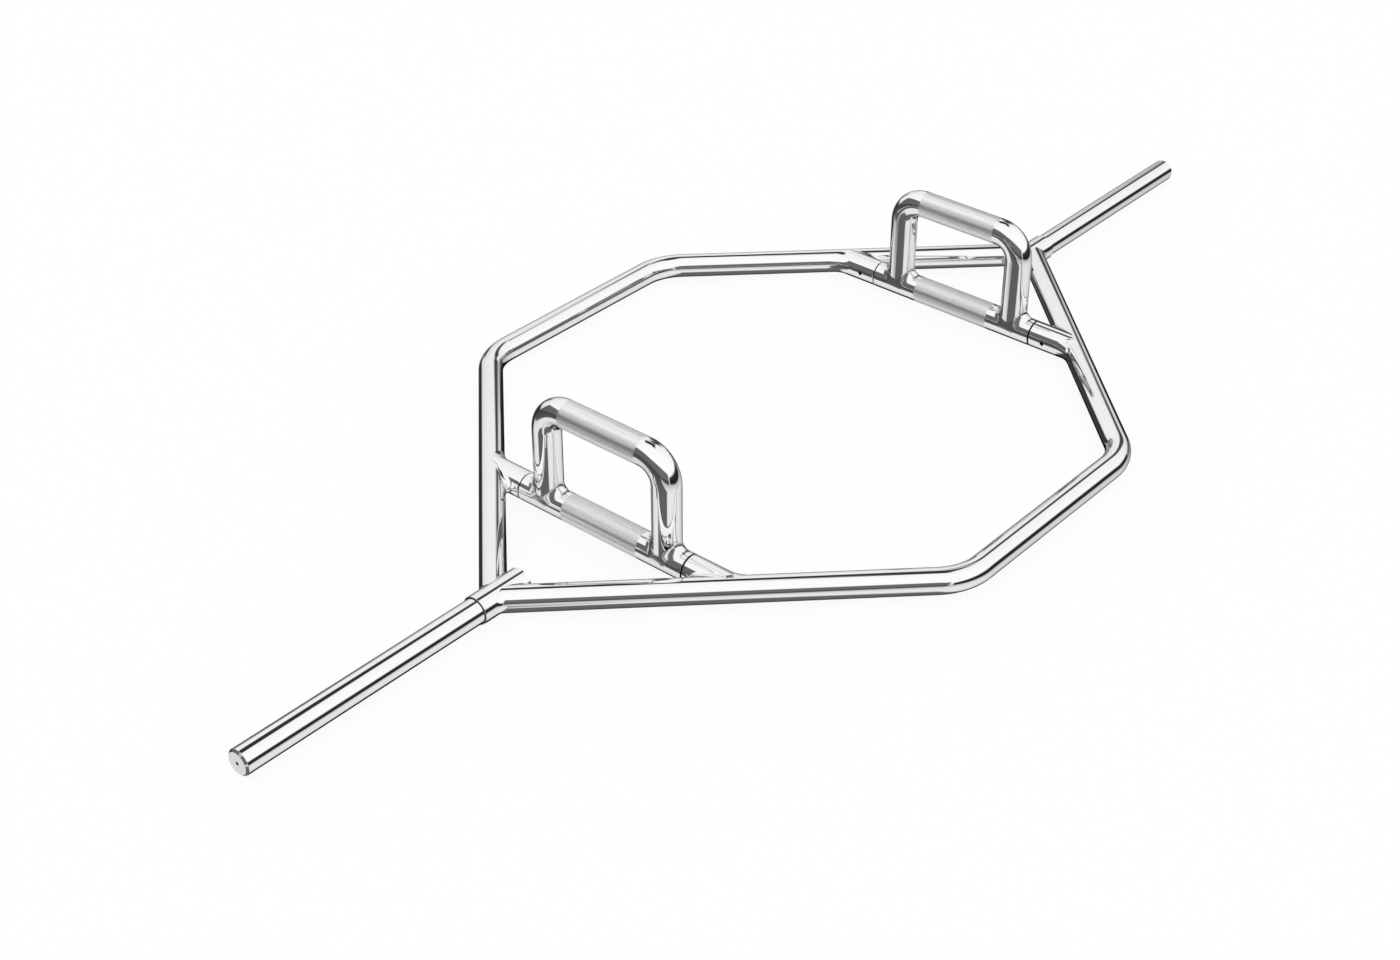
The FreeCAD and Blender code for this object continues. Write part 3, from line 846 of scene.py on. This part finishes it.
def lower_grip(end, sign):
    """The straight grip that turns on the pins, knurled in the middle."""
    origin = np.array([sign * HANDLE_X, 0, AXIS_Z])
    axes = (origin, Y_AXIS, X_AXIS, -Z_AXIS)
    shell = Shell(handle_chrome, knurl_chrome, seam_painted_shade)
    low, high = add_knurl(shell, *axes)
    inner_ends = []
    for half, knurl_end in ((-1, low), (1, high)):
        corners = (
            (half * KNURL_HALF_LENGTH, HANDLE_RADIUS, 0),
            (half * (GRIP_END - SEAM_CHAMFER), HANDLE_RADIUS, SHARP_ROUND),
            (half * GRIP_END, HANDLE_RADIUS - SEAM_CHAMFER, SHARP_ROUND),
            (half * GRIP_END, HANDLE_BORE, EDGE_ROUND),
            (half * KNURL_HALF_LENGTH, HANDLE_BORE, 0),
        )
        # The grip's end chamfers, end faces and bore are painted dark, as painted shade in the seams
        coats = (handle_chrome, seam_painted_shade, seam_painted_shade, seam_painted_shade)
        if half < 0:
            corners, coats = corners[::-1], coats[::-1]
        first, last = lathe_rings(shell, corners, *axes, coats)
        plain, inside = (first, last) if half > 0 else (last, first)
        shell.join(knurl_end, plain, knurl_chrome, True)
        inner_ends.append(inside)
    shell.join(*inner_ends, seam_painted_shade)
    dress(shell, f"{end}_low_grip", f"{end}_handle", f"{end}_lower_grip")


def upper_loop(end, sign):
    """The raised loop with its knurled grip, and the welds at its feet."""
    x = sign * HANDLE_X
    corners = [np.array([x, y, z]) for y, z in (
        (-LEG_Y, AXIS_Z), (-LEG_Y, LOOP_TOP), (LEG_Y, LOOP_TOP), (LEG_Y, AXIS_Z)
    )]
    grip = Bar((x, 0, AXIS_Z), Y_AXIS, HANDLE_RADIUS)

    def out_of(way):
        return np.array([0, -way[2], way[1]])

    def foot_rings(bend, foot):
        way = unit(foot - bend)
        leg = Bar(bend, way, HANDLE_RADIUS)
        return weld_rings(leg, X_AXIS, out_of(way), grip, LOOP_WELD, least=LOOP_WELD_LEAST_SHARE)

    front = bent_path(*corners[:3], LOOP_BEND)
    rear = bent_path(*corners[1:], LOOP_BEND)
    front_foot = foot_rings(front[0][0], corners[0])
    rear_foot = foot_rings(rear[-1][0], corners[3])
    mirror = -np.arange(AROUND) % AROUND

    shell = Shell(handle_chrome, knurl_chrome)
    low, high = add_knurl(shell, np.array([x, 0, LOOP_TOP]), Y_AXIS, X_AXIS, Z_AXIS)
    halves = (
        (low, front[::-1], -1, front_foot[0][0][mirror], front_foot[1][0][mirror]),
        (high, rear, 1, rear_foot[0][0], rear_foot[1][0]),
    )
    for knurl_end, path, half, foot_points, foot_normals in halves:
        start = np.array([x, half * KNURL_HALF_LENGTH, LOOP_TOP])
        rings = [shell.ring(*circle(start, X_AXIS, Z_AXIS, HANDLE_RADIUS))]
        for place, way in path:
            rings.append(shell.ring(*circle(place, X_AXIS, out_of(way), HANDLE_RADIUS)))
        rings.append(shell.ring(foot_points, foot_normals))
        shell.join(knurl_end, rings[0], knurl_chrome, True)
        shell.strips(rings)
        shell.fan(rings[-1], foot_points.mean(0), -Z_AXIS)
    dress(shell, f"{end}_loop", f"{end}_handle", f"{end}_upper_loop")

    shell = Shell(weld_chrome)
    for points, normals in (front_foot, rear_foot):
        rings = [shell.ring(*ring) for ring in zip(points, normals)]
        top = points[0].mean(0)
        shell.strips(rings)
        shell.fan(rings[0], top, Z_AXIS)
        shell.fan(rings[-1], np.array([*top[:2], AXIS_Z]), -Z_AXIS)
    dress(shell, f"{end}_feet_welds", f"{end}_handle", f"{end}_loop_welds")


def paint(node, material):
    """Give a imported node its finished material."""
    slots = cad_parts[node].data.materials
    slots.clear()
    slots.append(material)


def studio_world():
    """A studio with dark flags for the chrome to mirror, and plain white for all else."""
    world = bpy.data.worlds.new("studio")
    bpy.context.scene.world = world
    world.use_nodes = True
    tree = world.node_tree
    tree.nodes.clear()
    direction = tree.nodes.new("ShaderNodeTexCoord").outputs["Generated"]

    def dot(vector):
        node = tree.nodes.new("ShaderNodeVectorMath")
        node.operation = "DOT_PRODUCT"
        tree.links.new(direction, node.inputs[0])
        node.inputs[1].default_value = tuple(vector)
        return node.outputs["Value"]

    def ramp(value, *ends):
        return map_range(tree, value, *ends, "SMOOTHSTEP")

    def cover(azimuth, elevation, width, height, roll, soft):
        """1 where a flag stands and 0 elsewhere, with a soft edge between."""
        middle = heading(azimuth, elevation)
        right, up = rolled_axes(middle, roll)
        blur = math.tan(math.radians(soft)) / 2
        ahead = math_node(tree, "MAXIMUM", dot(middle), LEAST_AHEAD)
        share = math_node(tree, "GREATER_THAN", dot(middle), 0.0)
        for axis, half in ((right, width), (up, height)):
            away = math_node(tree, "DIVIDE", math_node(tree, "ABSOLUTE", dot(axis)), ahead)
            edge = math.tan(math.radians(half))
            share = math_node(tree, "MULTIPLY", share, ramp(away, edge - blur, edge + blur, 1, 0))
        return share

    ground = ramp(dot(Z_AXIS), *GROUND_RAMP, GROUND_LIGHT, GROUND_LIGHT_FAR)
    sky = ramp(dot(SKY_SIDE), *SKY_RAMP, SKY_LIGHT_FAR, SKY_LIGHT)
    light = ramp(dot(Z_AXIS), *HORIZON_RAMP, ground, sky)
    taken = 0.0
    for *place, dark in FLAGS:
        taken = math_node(tree, "MAXIMUM", taken, math_node(tree, "MULTIPLY", cover(*place), dark))
    light = math_node(tree, "MULTIPLY", light, math_node(tree, "SUBTRACT", 1.0, taken))

    mirrored = tree.nodes.new("ShaderNodeBackground")
    mirrored.inputs["Color"].default_value = WHITE
    tree.links.new(light, mirrored.inputs["Strength"])
    plain = tree.nodes.new("ShaderNodeBackground")
    plain.inputs["Color"].default_value = WHITE
    plain.inputs["Strength"].default_value = 1.0
    rays = tree.nodes.new("ShaderNodeLightPath").outputs
    in_mirror = math_node(tree, "MAXIMUM", rays["Is Glossy Ray"], rays["Is Transmission Ray"])
    mix = tree.nodes.new("ShaderNodeMixShader")
    tree.links.new(in_mirror, mix.inputs["Fac"])
    tree.links.new(plain.outputs["Background"], mix.inputs[1])
    tree.links.new(mirrored.outputs["Background"], mix.inputs[2])
    output = tree.nodes.new("ShaderNodeOutputWorld")
    tree.links.new(mix.outputs["Shader"], output.inputs["Surface"])


def studio_floor():
    """A pale floor, faint enough to stay white and dense enough to keep a soft shadow."""
    mesh = bpy.data.meshes.new("floor")
    square = ((-1, -1), (1, -1), (1, 1), (-1, 1))
    corners = [(x * FLOOR_HALF, y * FLOOR_HALF, -FLOOR_DROP) for x, y in square]
    mesh.from_pydata(corners, [], [(0, 1, 2, 3)])
    floor = bpy.data.objects.new("floor", mesh)
    bpy.context.scene.collection.objects.link(floor)
    material = bpy.data.materials.new("floor_white")
    material.use_nodes = True
    tree = material.node_tree
    tree.nodes.clear()
    clear = tree.nodes.new("ShaderNodeBsdfTransparent")
    matte = tree.nodes.new("ShaderNodeBsdfDiffuse")
    matte.inputs["Color"].default_value = FLOOR_COLOUR
    mix = tree.nodes.new("ShaderNodeMixShader")
    mix.inputs["Fac"].default_value = FLOOR_COVER
    tree.links.new(clear.outputs["BSDF"], mix.inputs[1])
    tree.links.new(matte.outputs["BSDF"], mix.inputs[2])
    output = tree.nodes.new("ShaderNodeOutputMaterial")
    tree.links.new(mix.outputs["Shader"], output.inputs["Surface"])
    mesh.materials.append(material)
    floor.visible_glossy = False


def photo_camera():
    """A camera at the photograph's viewpoint."""
    data = bpy.data.cameras.new("camera")
    data.lens = CAMERA_LENS
    data.sensor_width = CAMERA_SENSOR
    data.sensor_fit = "HORIZONTAL"
    camera = bpy.data.objects.new("camera", data)
    bpy.context.scene.collection.objects.link(camera)
    ahead = heading(CAMERA_AZIMUTH, CAMERA_ELEVATION)
    right, up = rolled_axes(ahead, CAMERA_ROLL)
    axes = Matrix([Vector(right), Vector(up), Vector(-ahead)]).transposed()
    camera.matrix_world = Matrix.Translation(CAMERA_PLACE) @ axes.to_4x4()
    bpy.context.scene.camera = camera


for side, sign in SIDES:
    frame_tube(side, sign)
for end, across in ENDS:
    socket_and_sleeve(end, across)
    for side, along in SIDES:
        stub(end, across, side, along)
        paint(f"{end}_{side}_bush", bush_bronze)
        paint(f"{end}_{side}_pivot_pin", pin_steel)
    lower_grip(end, across)
    upper_loop(end, across)
paint("grub_screws", screw_black)

studio_world()
studio_floor()
photo_camera()
bpy.context.scene.view_settings.view_transform = "Standard"
